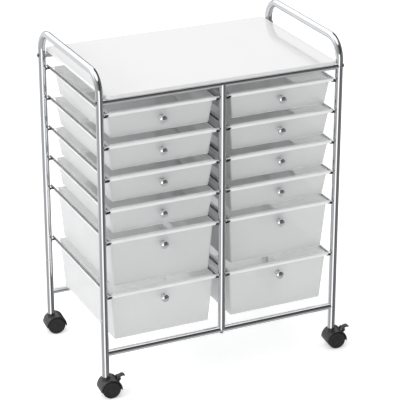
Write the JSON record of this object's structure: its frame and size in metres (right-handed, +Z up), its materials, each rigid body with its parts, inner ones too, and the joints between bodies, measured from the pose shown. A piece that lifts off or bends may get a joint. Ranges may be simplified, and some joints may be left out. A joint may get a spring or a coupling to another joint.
{
  "type": "rolling drawer cart",
  "caption": "Rolling cart with a chromed tube frame, a flat white top between side handles, and two columns of frosted tapered drawers on wire runners, on swivel casters.",
  "frame": {"origin": "on the floor, midway between the four caster swivel axes", "axes": "+Z up, the drawers open towards -Y, +X to the right seen from the front"},
  "size_m": [0.6892, 0.4255, 0.833],
  "materials": {
    "chrome": "bright chrome plate on steel tube",
    "steel": "zinc-plated steel",
    "white_board": "glossy white laminate",
    "frosted_plastic": "frosted translucent polypropylene",
    "black_plastic": "moulded black nylon",
    "black_tread": "moulded black nylon wheel"
  },
  "bodies": {
    "frame": {"left_side_hoop": "chrome", "right_side_hoop": "chrome", "lower_legs": "chrome", "top_front_crossbar": "chrome", "top_rear_crossbar": "chrome", "bottom_front_crossbar": "chrome", "bottom_rear_crossbar": "chrome", "centre_front_post": "chrome", "centre_rear_post": "chrome", "left_runners": "chrome", "centre_runners": "chrome", "right_runners": "chrome", "top_board": "white_board", "crossbar_bolts": "steel", "post_screws": "steel", "caster_sockets": "black_plastic"},
    "left_drawer_1": {"drawer_left_1": "frosted_plastic", "knob_left_1": "chrome"},
    "left_drawer_2": {"drawer_left_2": "frosted_plastic", "knob_left_2": "chrome"},
    "left_drawer_3": {"drawer_left_3": "frosted_plastic", "knob_left_3": "chrome"},
    "left_drawer_4": {"drawer_left_4": "frosted_plastic", "knob_left_4": "chrome"},
    "left_drawer_5": {"drawer_left_5": "frosted_plastic", "knob_left_5": "chrome"},
    "left_drawer_6": {"drawer_left_6": "frosted_plastic", "knob_left_6": "chrome"},
    "right_drawer_1": {"drawer_right_1": "frosted_plastic", "knob_right_1": "chrome"},
    "right_drawer_2": {"drawer_right_2": "frosted_plastic", "knob_right_2": "chrome"},
    "right_drawer_3": {"drawer_right_3": "frosted_plastic", "knob_right_3": "chrome"},
    "right_drawer_4": {"drawer_right_4": "frosted_plastic", "knob_right_4": "chrome"},
    "right_drawer_5": {"drawer_right_5": "frosted_plastic", "knob_right_5": "chrome"},
    "right_drawer_6": {"drawer_right_6": "frosted_plastic", "knob_right_6": "chrome"},
    "front_left_caster": {"caster_hood_front_left": "black_plastic", "caster_pins_front_left": "steel"},
    "front_left_wheel_a": {"wheel_a_front_left": "black_tread"},
    "front_left_wheel_b": {"wheel_b_front_left": "black_tread"},
    "front_left_brake": {"brake_lever_front_left": "black_plastic"},
    "front_right_caster": {"caster_hood_front_right": "black_plastic", "caster_pins_front_right": "steel"},
    "front_right_wheel_a": {"wheel_a_front_right": "black_tread"},
    "front_right_wheel_b": {"wheel_b_front_right": "black_tread"},
    "front_right_brake": {"brake_lever_front_right": "black_plastic"},
    "rear_left_caster": {"caster_hood_rear_left": "black_plastic", "caster_pins_rear_left": "steel"},
    "rear_left_wheel_a": {"wheel_a_rear_left": "black_tread"},
    "rear_left_wheel_b": {"wheel_b_rear_left": "black_tread"},
    "rear_right_caster": {"caster_hood_rear_right": "black_plastic", "caster_pins_rear_right": "steel"},
    "rear_right_wheel_a": {"wheel_a_rear_right": "black_tread"},
    "rear_right_wheel_b": {"wheel_b_rear_right": "black_tread"}
  },
  "joints": [
    {"name": "left_drawer_1_slide", "type": "slide", "parent": "frame", "child": "left_drawer_1", "axis": [0, -1, 0], "range_m": [0, 0.25]},
    {"name": "left_drawer_2_slide", "type": "slide", "parent": "frame", "child": "left_drawer_2", "axis": [0, -1, 0], "range_m": [0, 0.25]},
    {"name": "left_drawer_3_slide", "type": "slide", "parent": "frame", "child": "left_drawer_3", "axis": [0, -1, 0], "range_m": [0, 0.25]},
    {"name": "left_drawer_4_slide", "type": "slide", "parent": "frame", "child": "left_drawer_4", "axis": [0, -1, 0], "range_m": [0, 0.25]},
    {"name": "left_drawer_5_slide", "type": "slide", "parent": "frame", "child": "left_drawer_5", "axis": [0, -1, 0], "range_m": [0, 0.25]},
    {"name": "left_drawer_6_slide", "type": "slide", "parent": "frame", "child": "left_drawer_6", "axis": [0, -1, 0], "range_m": [0, 0.25]},
    {"name": "right_drawer_1_slide", "type": "slide", "parent": "frame", "child": "right_drawer_1", "axis": [0, -1, 0], "range_m": [0, 0.25]},
    {"name": "right_drawer_2_slide", "type": "slide", "parent": "frame", "child": "right_drawer_2", "axis": [0, -1, 0], "range_m": [0, 0.25]},
    {"name": "right_drawer_3_slide", "type": "slide", "parent": "frame", "child": "right_drawer_3", "axis": [0, -1, 0], "range_m": [0, 0.25]},
    {"name": "right_drawer_4_slide", "type": "slide", "parent": "frame", "child": "right_drawer_4", "axis": [0, -1, 0], "range_m": [0, 0.25]},
    {"name": "right_drawer_5_slide", "type": "slide", "parent": "frame", "child": "right_drawer_5", "axis": [0, -1, 0], "range_m": [0, 0.25]},
    {"name": "right_drawer_6_slide", "type": "slide", "parent": "frame", "child": "right_drawer_6", "axis": [0, -1, 0], "range_m": [0, 0.25]},
    {"name": "front_left_swivel", "type": "hinge", "parent": "frame", "child": "front_left_caster", "pos_m": [-0.311, -0.189, 0.05], "axis": [0, 0, 1], "continuous": true},
    {"name": "front_left_wheel_a_spin", "type": "hinge", "parent": "front_left_caster", "child": "front_left_wheel_a", "pos_m": [-0.30114, -0.18986, 0.023], "axis": [0.0872, 0.9962, 0], "continuous": true},
    {"name": "front_left_wheel_b_spin", "type": "hinge", "parent": "front_left_caster", "child": "front_left_wheel_b", "pos_m": [-0.30114, -0.18986, 0.023], "axis": [0.0872, 0.9962, 0], "continuous": true},
    {"name": "front_left_brake_press", "type": "hinge", "parent": "front_left_caster", "child": "front_left_brake", "pos_m": [-0.27906, -0.19179, 0.04595], "axis": [0.0872, 0.9962, 0], "range_deg": [0, 20]},
    {"name": "front_right_swivel", "type": "hinge", "parent": "frame", "child": "front_right_caster", "pos_m": [0.311, -0.189, 0.05], "axis": [0, 0, 1], "continuous": true},
    {"name": "front_right_wheel_a_spin", "type": "hinge", "parent": "front_right_caster", "child": "front_right_wheel_a", "pos_m": [0.32086, -0.18986, 0.023], "axis": [0.0872, 0.9962, 0], "continuous": true},
    {"name": "front_right_wheel_b_spin", "type": "hinge", "parent": "front_right_caster", "child": "front_right_wheel_b", "pos_m": [0.32086, -0.18986, 0.023], "axis": [0.0872, 0.9962, 0], "continuous": true},
    {"name": "front_right_brake_press", "type": "hinge", "parent": "front_right_caster", "child": "front_right_brake", "pos_m": [0.34294, -0.19179, 0.04595], "axis": [0.0872, 0.9962, 0], "range_deg": [0, 20]},
    {"name": "rear_left_swivel", "type": "hinge", "parent": "frame", "child": "rear_left_caster", "pos_m": [-0.311, 0.189, 0.05], "axis": [0, 0, 1], "continuous": true},
    {"name": "rear_left_wheel_a_spin", "type": "hinge", "parent": "rear_left_caster", "child": "rear_left_wheel_a", "pos_m": [-0.30114, 0.18814, 0.023], "axis": [0.0872, 0.9962, 0], "continuous": true},
    {"name": "rear_left_wheel_b_spin", "type": "hinge", "parent": "rear_left_caster", "child": "rear_left_wheel_b", "pos_m": [-0.30114, 0.18814, 0.023], "axis": [0.0872, 0.9962, 0], "continuous": true},
    {"name": "rear_right_swivel", "type": "hinge", "parent": "frame", "child": "rear_right_caster", "pos_m": [0.311, 0.189, 0.05], "axis": [0, 0, 1], "continuous": true},
    {"name": "rear_right_wheel_a_spin", "type": "hinge", "parent": "rear_right_caster", "child": "rear_right_wheel_a", "pos_m": [0.32086, 0.18814, 0.023], "axis": [0.0872, 0.9962, 0], "continuous": true},
    {"name": "rear_right_wheel_b_spin", "type": "hinge", "parent": "rear_right_caster", "child": "rear_right_wheel_b", "pos_m": [0.32086, 0.18814, 0.023], "axis": [0.0872, 0.9962, 0], "continuous": true}
  ]
}
